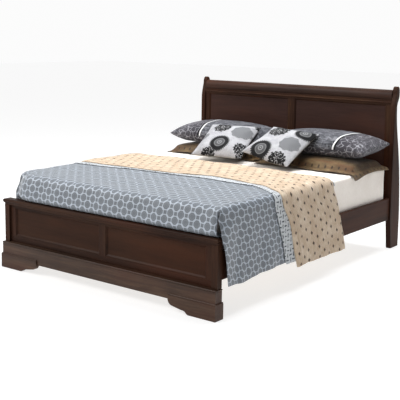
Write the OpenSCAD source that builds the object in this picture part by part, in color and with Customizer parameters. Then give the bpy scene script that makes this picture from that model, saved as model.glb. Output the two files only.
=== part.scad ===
// Sleigh bed with scrolled headboard posts, a low framed footboard on bracket feet,
// slatted base and a dressed mattress. Millimetres, +Z up, the foot end towards -Y.

/* [Overall] */
// Width over the bracket feet
bed_w = 1922; // [1906:2:1960]
// Length from the bracket feet to the back of the headboard legs
bed_l = 2486; // [2474:2:2540]
// Height of the scrolled post tops
bed_h = 1292; // [1240:2:1380]

/* [Headboard] */
// Width of each scrolled post
head_post_w = 40; // [34:1:44]
// Width of the stiles beside the posts
head_stile_w = 40; // [30:1:60]
// Half height of the rolled top rail
roll_half_h = 45; // [36:1:48]
// Half depth of the rolled top rail
roll_half_d = 32; // [26:1:36]

/* [Footboard] */
// Top of the flat cap above the floor
foot_h = 498; // [488:2:540]
// Thickness of the flat cap
cap_t = 24; // [18:1:28]
// Top of the plinth under its bead
plinth_top = 178; // [170:1:190]
// Underside of the plinth
plinth_bottom = 72; // [66:1:80]
// Length of each bracket foot along the front
bracket_len = 366; // [340:2:420]
// Width of the footboard centre stile
foot_mid_w = 56; // [44:1:70]

/* [Side rails and base] */
// Underside of the side rails above the floor
rail_bottom = 238; // [232:1:250]
// Top of the side rails above the floor
rail_top = 413; // [400:1:430]
// Thickness of the side rails
rail_t = 22; // [20:1:23]
// Number of slats
slat_count = 14; // [10:1:15]
// Width of each slat
slat_w = 70; // [60:1:90]
// Thickness of each slat
slat_t = 18; // [14:1:20]

/* [Mattress and bedding] */
// Width of the mattress
mattress_w = 1829; // [1800:1:1832]
// Length of the mattress
mattress_l = 2134; // [2100:2:2142]
// Thickness of the mattress
mattress_t = 302; // [250:2:320]
// Bottom hem of the comforter above the floor
comforter_hem = 190; // [170:2:300]
// Bottom hem of the coverlet above the floor
coverlet_hem = 160; // [150:2:300]

/* [Hidden] */
$fn = 48;

wood = [0.24, 0.16, 0.14];
wood_dark = [0.19, 0.12, 0.10];
plain_wood = [0.72, 0.58, 0.42];
steel = [0.55, 0.56, 0.58];
plastic = [0.08, 0.08, 0.09];

half_w = bed_w / 2;
gap = 0.3;

// Side to side stations
head_x = half_w - 9;
foot_x = half_w - 11;
rail_x = half_w - 21;
plinth_x = half_w - 7;

// Foot to head stations, measured from the front of the bracket feet
plinth_y = 9;
post_y = 31;
post_d = 46;
frame_y = 46;
frame_t = 22;
head_y = bed_l - 165;
head_frame_y = head_y + 13;
rail_y0 = post_y + post_d + 3.6;
rail_y1 = head_y - 3.6;

// Levels
pad_t = 2;
bead_t = 12;
bead_top = plinth_top + gap + bead_t;
cap_z = foot_h - cap_t;
subtop_z = cap_z - gap - 17.4;
foot_panel_z0 = bead_top + 46;
foot_panel_z1 = subtop_z - 16;
foot_top_z = 98;
roll_z = bed_h - 72;
roll_y = head_y + 44;
head_top_z = roll_z - roll_half_h - gap;
rail_cope = 16;
head_panel_z1 = head_top_z - 25;
head_low_z = rail_bottom - 4;
head_panel_z0 = head_low_z + 64;
slat_z = rail_top - 75;
mattress_z = slat_z + slat_t + 1.8;
mattress_top = mattress_z + mattress_t;
mattress_y1 = head_y - 28;
mattress_y0 = mattress_y1 - mattress_l;

// Points along an arc in the plane of the sketch
function arc(cx, cy, rx, ry, a0, a1, n) =
  [for (i = [0:n]) [cx + rx * cos(a0 + (a1 - a0) * i / n), cy + ry * sin(a0 + (a1 - a0) * i / n)]];

// Point on a cubic curve, and a run of such points
function curve_at(a, b, c, d, t) =
  pow(1 - t, 3) * a + 3 * pow(1 - t, 2) * t * b + 3 * (1 - t) * t * t * c + pow(t, 3) * d;
function curve(a, b, c, d, n) = [for (i = [0:n - 1]) curve_at(a, b, c, d, i / n)];

// Side outline of a scrolled post, pulled in by t on its front, top and back edges
function post_outline(t) = concat(
  [[head_y + 28 + t, pad_t], [head_y + t, rail_bottom - 8]],
  curve([head_y + t, bed_h - 202], [head_y + t, bed_h - 122], [head_y + 22 + t, bed_h - 87],
    [head_y + 26 + t, bed_h - 50], 12),
  arc(head_y + 51, bed_h - 50, 25 - t, 50 - t, 180, 0, 20),
  curve([head_y + 76 - t, bed_h - 50], [head_y + 76 - t, bed_h - 107],
    [head_y + 40 - t, bed_h - 117], [head_y + 40 - t, bed_h - 162], 10),
  curve([head_y + 40 - t, bed_h - 162], [head_y + 44 - t, bed_h - 412],
    [head_y + 135 - t, bed_h - 442], [bed_l - t, rail_bottom], 18),
  [[bed_l - t, rail_bottom], [bed_l - t, pad_t]]
);

// Lens outline of a soft cushion, w wide and t thick
function lens(w, t, n) = concat(
  [for (i = [0:n]) [-w / 2 * cos(180 * i / n), t / 2 * pow(sin(180 * i / n), 0.8)]],
  [for (i = [1:n - 1]) [w / 2 * cos(180 * i / n), -t / 2 * pow(sin(180 * i / n), 0.8)]]
);

// Stepped and rounded edge profiles: outset from the core and height above the base
function nosing(h, d) = concat([[d - 3, 0]], arc(d - h / 2, h / 2, h / 2, h / 2, -50, 68, 12), [[d - 9, h]]);
function half_round(h, d) = arc(d - h / 2, h / 2, h / 2, h / 2, -90, 90, 12);
function cove(h, d) = concat([[0, 0], [0, 2]], arc(d, 2, d, h - 5, 180, 90, 10), [[d, h]]);
function ogee(h, d) = concat([[d, 0], [d, 2]], arc(0, 2, d, h - 2, 0, 90, 10));

module from_foot() {
  translate([0, -bed_l / 2, 0]) children();
}

module slab(x0, x1, y0, y1, z0, z1) {
  translate([x0, y0, z0]) cube([x1 - x0, y1 - y0, z1 - z0]);
}

module other_side(side) {
  mirror([side < 0 ? 1 : 0, 0, 0]) children();
}

// Sketch in the Y-Z plane, pulled out along X
module along_x(x0, x1, points) {
  translate([x0, 0, 0]) rotate([90, 0, 90]) linear_extrude(x1 - x0) polygon(points);
}

// Sketch in the X-Z plane, pulled out along Y
module along_y(y0, y1, points) {
  translate([0, y1, 0]) rotate([90, 0, 0]) linear_extrude(y1 - y0) polygon(points);
}

// Board with the same moulded edge on all four sides and mitred corners
module moulded_board(hx, y0, y1, z, edge) {
  front = [for (p = edge) [y0 - p[0], z + p[1]]];
  back = [for (i = [len(edge) - 1:-1:0]) [y1 + edge[i][0], z + edge[i][1]]];
  left = [for (p = edge) [-hx - p[0], z + p[1]]];
  right = [for (i = [len(edge) - 1:-1:0]) [hx + edge[i][0], z + edge[i][1]]];
  intersection() {
    along_x(-hx - 40, hx + 40, concat(front, back));
    along_y(y0 - 40, y1 + 40, concat(left, right));
  }
}

// Bevelled frame round a recessed panel, w wide, sloping from face_y back by depth
module panel_bead(x0, x1, z0, z1, face_y, depth, w) {
  difference() {
    slab(x0 + gap, x1 - gap, face_y, face_y + depth, z0 + gap, z1 - gap);
    intersection() {
      along_x(x0 - 9, x1 + 9, [
        [face_y - 1, z0 + 4 - w / depth], [face_y + depth + 1, z0 + 4 + w + w / depth],
        [face_y + depth + 1, z1 - 4 - w - w / depth], [face_y - 1, z1 - 4 + w / depth]
      ]);
      translate([0, 0, z0 - 9]) linear_extrude(z1 - z0 + 18) polygon([
        [x0 + 4 - w / depth, face_y - 1], [x0 + 4 + w + w / depth, face_y + depth + 1],
        [x1 - 4 - w - w / depth, face_y + depth + 1], [x1 - 4 + w / depth, face_y - 1]
      ]);
    }
  }
}

module head_post(side) {
  other_side(side) color(wood) from_foot() {
    along_x(head_x - head_post_w + 4, head_x - 4, post_outline(0));
    along_x(head_x - head_post_w, head_x - head_post_w + 4, post_outline(3));
    along_x(head_x - 4, head_x, post_outline(3));
  }
}

module head_post_l() {
  head_post(-1);
}

module head_post_r() {
  head_post(1);
}

module head_roll() {
  reach = head_x - head_post_w - gap;
  color(wood) from_foot()
    along_x(-reach, reach, arc(roll_y, roll_z, roll_half_d, roll_half_h, 0, 351, 39));
}

module head_rail_top() {
  reach = head_x - head_post_w - gap;
  color(wood) from_foot() {
    // the top edge is coped to the underside of the roll
    difference() {
      slab(-reach, reach, head_frame_y, head_frame_y + 24, head_panel_z1 + gap, head_top_z + rail_cope);
      along_x(-reach - 9, reach + 9, arc(roll_y, roll_z, roll_half_d + gap, roll_half_h + gap, 0, 351, 39));
    }
    along_x(-reach, reach, [for (p = half_round(14, 7)) [head_frame_y - p[0], head_top_z - 15 + p[1]]]);
  }
}

module head_rail_bottom() {
  reach = head_x - head_post_w - gap;
  color(wood) from_foot()
    slab(-reach, reach, head_frame_y, head_frame_y + 24, head_low_z, head_panel_z0 - gap);
}

module head_stile(side) {
  outer = head_x - head_post_w - gap;
  other_side(side) color(wood) from_foot()
    slab(outer - head_stile_w, outer, head_frame_y, head_frame_y + 24, head_panel_z0, head_panel_z1);
}

module head_stile_l() {
  head_stile(-1);
}

module head_stile_r() {
  head_stile(1);
}

module head_stile_mid() {
  color(wood) from_foot()
    slab(-30, 30, head_frame_y, head_frame_y + 24, head_panel_z0, head_panel_z1);
}

module head_panel(side) {
  x1 = head_x - head_post_w - 2 * gap - head_stile_w;
  other_side(side) color(wood_dark) from_foot()
    slab(30 + gap, x1, head_frame_y + 9 + gap, head_frame_y + 19, head_panel_z0, head_panel_z1);
}

module head_panel_l() {
  head_panel(-1);
}

module head_panel_r() {
  head_panel(1);
}

module head_bead(side) {
  x1 = head_x - head_post_w - gap - head_stile_w;
  other_side(side) color(wood) from_foot()
    panel_bead(30, x1, head_panel_z0, head_panel_z1, head_frame_y + 2, 7, 8);
}

module head_bead_l() {
  head_bead(-1);
}

module head_bead_r() {
  head_bead(1);
}

module head_pads() {
  color(plastic) from_foot()
    for (x = [-1, 1])
      for (y = [head_y + 50, bed_l - 28])
        translate([x * (head_x - head_post_w / 2), y, 0]) cylinder(r = 14, h = pad_t - 0.1);
}

module foot_post(side) {
  x1 = foot_x;
  other_side(side) color(wood) from_foot()
    slab(x1 - 45, x1, post_y, post_y + post_d, bead_top + gap, subtop_z - gap);
}

module foot_post_l() {
  foot_post(-1);
}

module foot_post_r() {
  foot_post(1);
}

module foot_cap() {
  color(wood) from_foot()
    moulded_board(foot_x - 6, post_y, post_y + post_d, cap_z, nosing(cap_t, 13));
}

module foot_subtop() {
  color(wood) from_foot()
    moulded_board(foot_x, post_y + 2, post_y + post_d - 2, subtop_z, cove(17.4, 6));
}

module foot_rail_top() {
  reach = foot_x - 45 - gap;
  color(wood) from_foot()
    slab(-reach, reach, frame_y, frame_y + frame_t, foot_panel_z1 + gap, subtop_z - gap);
}

module foot_rail_bottom() {
  reach = foot_x - 45 - gap;
  color(wood) from_foot()
    slab(-reach, reach, frame_y, frame_y + frame_t, bead_top + gap, foot_panel_z0 - gap);
}

module foot_stile(side) {
  outer = foot_x - 45 - gap;
  other_side(side) color(wood) from_foot()
    slab(outer - 50, outer, frame_y, frame_y + frame_t, foot_panel_z0, foot_panel_z1);
}

module foot_stile_l() {
  foot_stile(-1);
}

module foot_stile_r() {
  foot_stile(1);
}

module foot_stile_mid() {
  color(wood) from_foot()
    slab(-foot_mid_w / 2, foot_mid_w / 2, frame_y, frame_y + frame_t, foot_panel_z0, foot_panel_z1);
}

module foot_panel(side) {
  x1 = foot_x - 95 - 2 * gap;
  other_side(side) color(wood_dark) from_foot()
    slab(foot_mid_w / 2 + gap, x1, frame_y + 10 + gap, frame_y + 19, foot_panel_z0, foot_panel_z1);
}

module foot_panel_l() {
  foot_panel(-1);
}

module foot_panel_r() {
  foot_panel(1);
}

module foot_bead(side) {
  other_side(side) color(wood) from_foot()
    panel_bead(foot_mid_w / 2, foot_x - 95 - gap, foot_panel_z0, foot_panel_z1, frame_y + 2, 8, 10);
}

module foot_bead_l() {
  foot_bead(-1);
}

module foot_bead_r() {
  foot_bead(1);
}

module plinth() {
  color(wood) from_foot() {
    slab(-plinth_x, plinth_x, plinth_y, post_y, plinth_bottom, plinth_top);
    for (side = [-1, 1])
      other_side(side)
        slab(plinth_x - 22, plinth_x, post_y, post_y + post_d - 2, plinth_bottom, plinth_top);
  }
}

module plinth_bead() {
  color(wood) from_foot()
    moulded_board(plinth_x - 3, plinth_y + 3, post_y + post_d - 5, plinth_top + gap, half_round(bead_t, 5));
}

// Front outline of a bracket foot, inner end rounded and toe stepped down to the floor
function bracket_outline() = concat(
  [[half_w, pad_t], [half_w, foot_top_z], [half_w - bracket_len, foot_top_z]],
  arc(half_w - bracket_len + 40, 76, 40, 40, 180, 262, 10),
  arc(half_w - 250, -6, 34, 30, 100, 30, 6),
  [[half_w - 208, pad_t]]
);

module bracket_foot(side) {
  other_side(side) color(wood) from_foot()
    difference() {
      union() {
        along_y(0, 30, bracket_outline());
        slab(half_w - 24, half_w, 30, 82, pad_t, foot_top_z);
      }
      slab(0, plinth_x + gap, plinth_y - gap, 90, plinth_bottom - gap, foot_top_z + 1);
    }
}

module bracket_foot_l() {
  bracket_foot(-1);
}

module bracket_foot_r() {
  bracket_foot(1);
}

// Small ogee moulding on the foot, mitred round the outer corner
module bracket_mould(side) {
  edge = ogee(10, half_w - plinth_x - 0.5);
  z = foot_top_z + gap;
  inner = half_w - bracket_len + 2;
  other_side(side) color(wood) from_foot()
    difference() {
      intersection() {
        along_x(inner, half_w, concat(
          [for (p = edge) [plinth_y - gap - p[0], z + p[1]]], [[80, z + 10], [80, z]]
        ));
        along_y(0, 80, concat(
          [for (p = edge) [plinth_x + gap + p[0], z + p[1]]], [[inner, z + 10], [inner, z]]
        ));
      }
      slab(0, plinth_x + gap / 2, plinth_y - gap / 2, 90, z - 1, z + 12);
    }
}

module bracket_mould_l() {
  bracket_mould(-1);
}

module bracket_mould_r() {
  bracket_mould(1);
}

module corner_blocks() {
  color(plain_wood) from_foot()
    for (side = [-1, 1])
      other_side(side)
        slab(plinth_x - 70, plinth_x - 22 - gap, post_y + gap, post_y + post_d - 2, pad_t, plinth_top);
}

module foot_pads() {
  color(plastic) from_foot()
    for (x = [-1, 1]) {
      translate([x * (half_w - 20), 15, 0]) cylinder(r = 11, h = pad_t - 0.1);
      translate([x * (half_w - 190), 15, 0]) cylinder(r = 11, h = pad_t - 0.1);
      translate([x * (plinth_x - 46), 54, 0]) cylinder(r = 14, h = pad_t - 0.1);
    }
}

module side_rail(side) {
  other_side(side) color(wood) from_foot()
    along_y(rail_y0, rail_y1, concat(
      [[rail_x - rail_t, rail_bottom], [rail_x, rail_bottom]],
      arc(rail_x - 5, rail_top - 5, 5, 5, 0, 90, 6),
      [[rail_x - rail_t, rail_top]]
    ));
}

module side_rail_l() {
  side_rail(-1);
}

module side_rail_r() {
  side_rail(1);
}

module rail_cleat(side) {
  x1 = rail_x - rail_t - gap;
  other_side(side) color(plain_wood) from_foot()
    slab(x1 - 32, x1, rail_y0 + 40, rail_y1 - 40, slat_z - gap - 30, slat_z - gap);
}

module rail_cleat_l() {
  rail_cleat(-1);
}

module rail_cleat_r() {
  rail_cleat(1);
}

module rail_plates(side) {
  x0 = rail_x - rail_t + 2;
  other_side(side) color(steel) from_foot() {
    slab(x0, rail_x - 2, rail_y0 - 3.3, rail_y0 - 0.1, rail_bottom + 10, rail_top - 12);
    slab(x0, rail_x - 2, rail_y1 + 0.1, rail_y1 + 3.3, rail_bottom + 10, rail_top - 12);
  }
}

module rail_plates_l() {
  rail_plates(-1);
}

module rail_plates_r() {
  rail_plates(1);
}

module centre_beam() {
  color(plain_wood) from_foot()
    slab(-20, 20, frame_y + frame_t + 4, head_frame_y - 4, slat_z - 66, slat_z - gap);
}

module beam_bracket(y0, y1, back_y) {
  slab(-26, -20 - gap, y0, y1, slat_z - 66 - gap, slat_z - 20);
  slab(20 + gap, 26, y0, y1, slat_z - 66 - gap, slat_z - 20);
  slab(-26, 26, y0, y1, slat_z - 69, slat_z - 66 - gap);
  slab(-26, 26, back_y, back_y + 3, slat_z - 69, slat_z - 20);
}

module beam_brackets() {
  color(steel) from_foot() {
    beam_bracket(frame_y + frame_t + 3.3, frame_y + frame_t + 36, frame_y + frame_t + gap);
    beam_bracket(head_frame_y - 36, head_frame_y - 3.3, head_frame_y - 3 - gap);
  }
}

function leg_y(i) = bed_l * (0.26 + 0.24 * i);

module support_legs() {
  color(plain_wood) from_foot()
    for (i = [0:2])
      difference() {
        slab(-22.5, 22.5, leg_y(i) - 22.5, leg_y(i) + 22.5, 34, slat_z - 66 - gap);
        translate([0, leg_y(i), 33]) cylinder(r = 5.05, h = 48);
      }
}

module leveller(i) {
  color(plastic) from_foot()
    translate([0, leg_y(i), 0]) {
      cylinder(r = 25, h = 8);
      cylinder(r = 9, h = 14);
      cylinder(r = 5, h = 64);
    }
}

module leveller_foot() {
  leveller(0);
}

module leveller_mid() {
  leveller(1);
}

module leveller_head() {
  leveller(2);
}

module slats() {
  reach = rail_x - rail_t - 4;
  first = rail_y0 + 110;
  pitch = (rail_y1 - 80 - first) / (slat_count - 1);
  color(plain_wood) from_foot()
    for (i = [0:slat_count - 1])
      slab(-reach, reach, first + pitch * i - slat_w / 2, first + pitch * i + slat_w / 2, slat_z, slat_z + slat_t);
}

module slat_straps() {
  color([0.85, 0.84, 0.80]) from_foot()
    for (x = [-520, 520])
      slab(x - 20, x + 20, rail_y0 + 70, rail_y1 - 40, slat_z + slat_t + 0.1, slat_z + slat_t + 1.3);
}

module mattress() {
  r = 50;
  x = mattress_w / 2;
  color([0.93, 0.91, 0.87]) from_foot()
    translate([0, 0, mattress_z])
      linear_extrude(mattress_t)
        union() {
          translate([-x + r, mattress_y0]) square([mattress_w - 2 * r, mattress_l]);
          translate([-x, mattress_y0 + r]) square([mattress_w, mattress_l - 2 * r]);
          for (sx = [-x + r, x - r])
            for (sy = [mattress_y0 + r, mattress_y1 - r])
              translate([sx, sy]) circle(r = r);
        }
}

// Bedding that lies over the mattress and hangs down outside the rails
module saddle(x_in, x_out, y0, y1, z_under, z_over, hem) {
  along_y(y0, y1, [
    [-x_out, hem], [-x_in, hem], [-x_in, z_under], [x_in, z_under],
    [x_in, hem], [x_out, hem], [x_out, z_over], [-x_out, z_over]
  ]);
}

bed_cover_z = mattress_top + gap;
cover_y0 = post_y + post_d + 15;

module comforter() {
  top_z = bed_cover_z + 24;
  color([0.46, 0.50, 0.58]) from_foot() {
    saddle(rail_x + 0.4, rail_x + 13, cover_y0, bed_l * 0.36, bed_cover_z, top_z, comforter_hem);
    slab(-rail_x - 13, rail_x + 13, bed_l * 0.36, bed_l * 0.58, bed_cover_z, top_z);
    along_x(-foot_x + 30, foot_x - 30, [
      [mattress_y0 - gap, foot_h + 12], [mattress_y0 - gap, bed_cover_z + 1], [cover_y0 + 1, top_z],
      [cover_y0 - 14, top_z - 4], [cover_y0 - 30, top_z - 22], [cover_y0 - 34, top_z - 50],
      [cover_y0 - 24, foot_h + 12]
    ]);
  }
}

module lining_band() {
  color([0.88, 0.88, 0.88]) from_foot()
    saddle(rail_x + 13.3, rail_x + 18, bed_l * 0.29, bed_l * 0.32, bed_cover_z + 24.3, bed_cover_z + 30, comforter_hem + 20);
}

module coverlet() {
  color([0.82, 0.70, 0.54]) from_foot() {
    saddle(rail_x + 13.3, rail_x + 19, bed_l * 0.32 + gap, bed_l * 0.595, bed_cover_z + 24.3, bed_cover_z + 37, coverlet_hem);
  }
}

// Soft cushion as two crossed lens outlines
module cushion(w, d, t) {
  intersection() {
    along_y(-d / 2 - 5, d / 2 + 5, lens(w, t, 14));
    along_x(-w / 2 - 5, w / 2 + 5, lens(d, t, 14));
  }
}

module khaki_sham(side) {
  other_side(side) color([0.55, 0.48, 0.36]) from_foot()
    translate([half_w - 479, head_y - 318, mattress_top + gap + 46]) cushion(930, 590, 91);
}

module khaki_sham_l() {
  khaki_sham(-1);
}

module khaki_sham_r() {
  khaki_sham(1);
}

// Side outline of a full sham, its front hollowed where a square cushion leans on it
grey_outline = [
  [-225, 48], [-200, 22], [-140, 4], [-60, 0], [60, 0], [150, 12], [205, 42], [216, 72],
  [204, 112], [150, 160], [80, 187], [20, 190], [-40, 172], [-110, 134], [-180, 86]
];

module grey_sham(side) {
  other_side(side) color([0.52, 0.52, 0.55]) from_foot()
    translate([half_w - 481, head_y - 240, mattress_top + gap + 94]) intersection() {
      along_x(-470, 470, grey_outline);
      translate([0, 0, 82]) along_y(-240, 240, lens(915, 236, 14));
    }
}

module grey_sham_l() {
  grey_sham(-1);
}

module grey_sham_r() {
  grey_sham(1);
}

module throw_pillow(side, ahead, turn) {
  color([0.85, 0.85, 0.86]) from_foot()
    translate([side * 284, head_y - 574 - ahead, mattress_top + gap + 154])
      rotate([0, 0, turn]) rotate([30, 0, 0]) cushion(510, 480, 118);
}

module throw_l() {
  throw_pillow(-1, 0, 0);
}

module throw_r() {
  throw_pillow(1, 14, -7);
}

head_post_l();
head_post_r();
head_roll();
head_rail_top();
head_rail_bottom();
head_stile_l();
head_stile_r();
head_stile_mid();
head_panel_l();
head_panel_r();
head_bead_l();
head_bead_r();
head_pads();
foot_post_l();
foot_post_r();
foot_cap();
foot_subtop();
foot_rail_top();
foot_rail_bottom();
foot_stile_l();
foot_stile_r();
foot_stile_mid();
foot_panel_l();
foot_panel_r();
foot_bead_l();
foot_bead_r();
plinth();
plinth_bead();
bracket_foot_l();
bracket_foot_r();
bracket_mould_l();
bracket_mould_r();
corner_blocks();
foot_pads();
side_rail_l();
side_rail_r();
rail_cleat_l();
rail_cleat_r();
rail_plates_l();
rail_plates_r();
centre_beam();
beam_brackets();
support_legs();
leveller_foot();
leveller_mid();
leveller_head();
slats();
slat_straps();
mattress();
comforter();
lining_band();
coverlet();
khaki_sham_l();
khaki_sham_r();
grey_sham_l();
grey_sham_r();
throw_l();
throw_r();
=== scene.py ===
import math
import bpy
import numpy as np
from mathutils import Matrix, Vector


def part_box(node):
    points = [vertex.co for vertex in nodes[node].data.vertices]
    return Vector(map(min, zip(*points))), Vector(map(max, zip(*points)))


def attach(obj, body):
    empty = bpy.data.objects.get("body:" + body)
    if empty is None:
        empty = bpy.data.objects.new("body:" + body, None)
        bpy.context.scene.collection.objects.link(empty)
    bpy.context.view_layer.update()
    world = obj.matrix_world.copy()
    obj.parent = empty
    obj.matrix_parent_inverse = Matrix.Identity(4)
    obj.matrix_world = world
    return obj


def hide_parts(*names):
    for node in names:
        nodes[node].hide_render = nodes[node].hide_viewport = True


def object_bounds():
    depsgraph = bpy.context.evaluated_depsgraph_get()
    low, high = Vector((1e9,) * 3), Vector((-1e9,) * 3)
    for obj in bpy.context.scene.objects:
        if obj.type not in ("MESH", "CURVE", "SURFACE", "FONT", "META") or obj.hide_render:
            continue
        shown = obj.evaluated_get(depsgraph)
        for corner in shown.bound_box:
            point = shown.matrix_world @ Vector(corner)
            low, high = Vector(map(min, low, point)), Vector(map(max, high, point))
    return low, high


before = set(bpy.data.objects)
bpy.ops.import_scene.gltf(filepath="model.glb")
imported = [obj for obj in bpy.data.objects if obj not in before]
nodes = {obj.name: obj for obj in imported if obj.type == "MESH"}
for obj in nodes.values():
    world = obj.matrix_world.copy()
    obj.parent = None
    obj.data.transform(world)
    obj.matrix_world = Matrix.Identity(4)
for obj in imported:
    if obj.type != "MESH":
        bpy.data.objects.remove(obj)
cad_lo, cad_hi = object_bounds()
FOOT = cad_lo.y  # the footboard's front; lengths along the bed are measured from it


# ---------------------------------------------------------------- materials

class F:
    """A number that a material works out at each point."""

    def __init__(self, s, x):
        self.s, self.x = s, x

    def op(self, name, *others, clamp=False):
        n = self.s.tree.nodes.new("ShaderNodeMath")
        n.operation, n.use_clamp = name, clamp
        for i, v in enumerate((self, *others)):
            self.s.put(n.inputs[i], v)
        return F(self.s, n.outputs[0])

    def __add__(self, o): return self.op("ADD", o)
    def __sub__(self, o): return self.op("SUBTRACT", o)
    def __mul__(self, o): return self.op("MULTIPLY", o)
    def __truediv__(self, o): return self.op("DIVIDE", o)
    def __neg__(self): return self.op("MULTIPLY", -1.0)
    def abs(self): return self.op("ABSOLUTE")
    def max(self, o): return self.op("MAXIMUM", o)
    def sin(self): return self.op("SINE")
    def sqrt(self): return self.op("SQRT")

    def near(self):
        """This minus the nearest whole number: a repeat of length 1, with 0 in its middle."""
        return self - self.op("ROUND")

    def below(self, edge, soft):
        """1 where this is under edge, 0 above it, with a soft change."""
        return (self * (-1.0 / soft) + edge / soft).op("ADD", 0.5, clamp=True)

    def above(self, edge, soft):
        return (-self).below(-edge, soft)


class Shader:
    """A node material on one Principled shader."""

    def __init__(self, name, **plain):
        self.mat = bpy.data.materials.new(name)
        self.mat.use_nodes = True
        self.tree = self.mat.node_tree
        self.tree.nodes.clear()
        out = self.tree.nodes.new("ShaderNodeOutputMaterial")
        self.bsdf = self.tree.nodes.new("ShaderNodeBsdfPrincipled")
        self.tree.links.new(self.bsdf.outputs[0], out.inputs[0])
        for key, value in plain.items():
            self.bsdf.inputs[key.replace("_", " ")].default_value = value

    def put(self, socket, v):
        v = v.x if isinstance(v, F) else v
        if isinstance(v, bpy.types.NodeSocket):
            self.tree.links.new(v, socket)
        else:
            socket.default_value = v

    def node(self, kind, ins=(), **props):
        n = self.tree.nodes.new(kind)
        for key, value in props.items():
            setattr(n, key, value)
        for key, value in dict(ins).items():
            self.put(n.inputs[key], value)
        return n

    def point(self):
        return self.node("ShaderNodeTexCoord").outputs["Object"]

    def flat(self):
        """The two flat measures of the cloth, in metres, and both as one vector."""
        uv = self.node("ShaderNodeUVMap", uv_map="cloth").outputs[0]
        n = self.node("ShaderNodeSeparateXYZ", {0: uv})
        return F(self, n.outputs[0]), F(self, n.outputs[1]), uv

    def xyz(self, vec):
        n = self.node("ShaderNodeSeparateXYZ", {0: vec})
        return [F(self, o) for o in n.outputs]

    def stretch(self, vec, x, y, z):
        return self.node("ShaderNodeMapping", {0: vec, 3: (x, y, z)}).outputs[0]

    def noise(self, vec, scale, detail=3.0, rough=0.55, dist=0.0):
        ins = {"Vector": vec, "Scale": scale, "Detail": detail, "Roughness": rough, "Distortion": dist}
        return F(self, self.node("ShaderNodeTexNoise", ins).outputs[0])

    def cells(self, vec, scale, feature="DISTANCE_TO_EDGE", random=1.0):
        ins = {"Vector": vec, "Scale": scale, "Randomness": random}
        return F(self, self.node("ShaderNodeTexVoronoi", ins, feature=feature).outputs[0])

    def mix(self, f, a, b):
        """Colour a where f is 0, colour b where it is 1."""
        n = self.tree.nodes.new("ShaderNodeMix")
        n.data_type, n.blend_type, n.clamp_factor = "RGBA", "MIX", True
        for i, v in ((0, f), (6, a), (7, b)):
            self.put(n.inputs[i], v)
        return n.outputs[2]

    def ramp(self, f, *stops):
        """A colour for each f, through (f, colour) stops."""
        n = self.tree.nodes.new("ShaderNodeValToRGB")
        r = n.color_ramp
        while len(r.elements) < len(stops):
            r.elements.new(0.5)
        for e, (at, colour) in zip(r.elements, stops):
            e.position, e.color = at, colour
        self.put(n.inputs[0], f)
        return n.outputs[0]

    def bump(self, height, strength, distance):
        ins = {"Height": height, "Strength": strength, "Distance": distance}
        return self.node("ShaderNodeBump", ins).outputs[0]

    def finish(self, colour, rough, normal=None):
        self.put(self.bsdf.inputs["Base Color"], colour)
        self.put(self.bsdf.inputs["Roughness"], rough)
        if normal is not None:
            self.put(self.bsdf.inputs["Normal"], normal)
        return self.mat


def rgb(code):
    """A colour from its usual six-digit code, as the renderer's linear numbers."""
    c = [int(code[i:i + 2], 16) / 255 for i in (0, 2, 4)]
    return tuple(v / 12.92 if v < 0.04045 else ((v + 0.055) / 1.055) ** 2.4 for v in c) + (1.0,)


def wood(name, along, tones, gloss=0.42, figure=1.0, coat=0.0, red=None, shine=0.07):
    """Stained wood whose grain runs along one axis of the bed; tones are dark, middle and light."""
    s = Shader(name, Coat_Weight=coat, Coat_Roughness=0.3, IOR=1.45, Specular_IOR_Level=shine)
    dark, mid, light = (rgb(t) for t in tones)
    p = s.point()
    # noise squeezed across the grain gives lines along it
    k = [16.0, 16.0, 16.0]
    k["xyz".index(along)] = 1.0
    long_p = s.stretch(p, *k)
    sway = s.noise(p, 2.2, 2.0)
    bands = s.noise(long_p, 1.1, 3.0, 0.6, 0.5)
    fine = s.noise(long_p, 7.0, 6.0, 0.7)
    k["xyz".index(along)] = 0.9
    pores = s.noise(s.stretch(p, *[4.0 * v for v in k]), 9.0, 2.0, 0.5)
    tone = bands * 0.55 * figure + fine * 0.35 + sway * 0.25 - 0.08
    colour = s.ramp(tone, (0.30, dark), (0.50, mid), (0.72, light))
    if red is not None:
        blotch = s.noise(s.stretch(p, *[0.5 + v / 5 for v in k]), 1.3, 3.0)
        colour = s.mix(blotch.above(0.55, 0.16) * 0.55, colour, rgb(red))
    colour = s.mix(pores.below(0.38, 0.1) * 0.35, colour, dark)
    relief = s.bump(pores * 0.6 + fine * 0.4, 0.16, 0.0006)
    return s.finish(colour, fine * 0.22 + (gloss - 0.11), relief)


TURN = 6.2832  # a full turn in radians


def weave(s, p, pitch, strength=0.5, more=None):
    """Crossing threads as bump, from the piece's own space, so it needs no unwrapping."""
    x, y, z = s.xyz(s.stretch(p, 1.0 / pitch, 1.0 / pitch, 1.0 / pitch))
    threads = (x * TURN).sin() * (y * TURN).sin() + (z * TURN).sin() * 0.5
    height = threads * 0.25 + s.noise(p, 0.35 / pitch, 3.0) * 0.9
    return s.bump(height if more is None else height + more, strength, 0.0012)


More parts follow.
